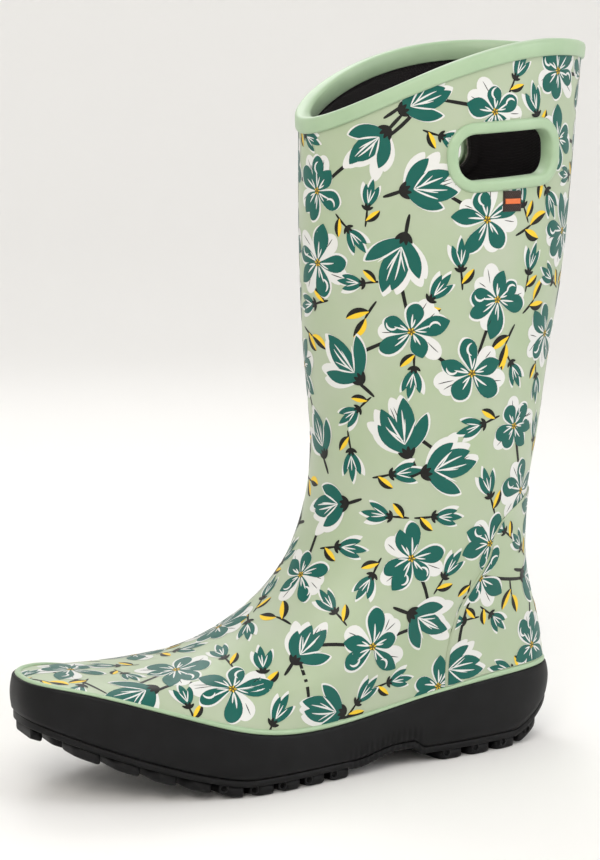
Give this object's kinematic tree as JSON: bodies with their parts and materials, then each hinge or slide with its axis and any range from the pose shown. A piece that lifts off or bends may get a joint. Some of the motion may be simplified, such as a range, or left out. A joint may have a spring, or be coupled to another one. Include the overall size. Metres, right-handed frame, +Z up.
{
  "type": "rubber rain boot",
  "caption": "Tall pull-on rubber rain boot with a floral printed shell, pale rim binding, a pull slot in each side, a black sidewall and a lugged outsole.",
  "frame": {"origin": "on the ground under the middle of the boot's box", "axes": "+X from toe to heel, +Y towards the inner side of the foot, +Z up"},
  "size_m": [0.3006, 0.1112, 0.3556],
  "materials": {
    "printed_rubber": "satin moulded rubber with a printed floral pattern",
    "trim_rubber": "satin moulded rubber, pale green",
    "black_rubber": "matt moulded rubber",
    "lining_textile": "brushed knit lining, near-black brown",
    "padding_textile": "fleece",
    "tab_webbing": "woven webbing",
    "tab_stripe": "matt rubber print, orange",
    "stiffener_board": "fibre board",
    "filler_rubber": "matt",
    "filler_foam": "closed-cell foam",
    "footbed_textile": "knit",
    "shank_steel": "spring steel"
  },
  "bodies": {
    "boot": {"upper_shell": "printed_rubber", "heel_overlay": "printed_rubber", "edge_piping": "trim_rubber", "top_binding": "trim_rubber", "handle_frame_outer": "trim_rubber", "handle_frame_inner": "trim_rubber", "handle_backing_outer": "lining_textile", "handle_backing_inner": "lining_textile", "sidewall": "black_rubber", "outsole_forefoot": "black_rubber", "outsole_heel": "black_rubber", "arch_plate": "black_rubber", "side_tab": "tab_webbing", "tab_stripe": "tab_stripe", "leg_lining": "lining_textile", "foot_lining": "lining_textile", "rim_tape": "lining_textile", "back_stay": "lining_textile", "insulation": "padding_textile", "heel_stiffener": "stiffener_board", "toe_puff": "stiffener_board", "ankle_patch_outer": "stiffener_board", "ankle_patch_inner": "stiffener_board", "insole_board": "stiffener_board", "midsole_filler": "filler_rubber", "heel_core": "filler_foam", "shank": "shank_steel"},
    "footbed": {"footbed_foam": "filler_foam", "footbed_cover": "footbed_textile", "footbed_heel_pad": "filler_foam", "arch_support": "filler_foam"}
  },
  "joints": [
    {"name": "footbed_tip", "type": "hinge", "parent": "boot", "child": "footbed", "pos_m": [-0.12905, 0, 0.041], "axis": [0, -1, 0], "range_deg": [0, 12]}
  ]
}
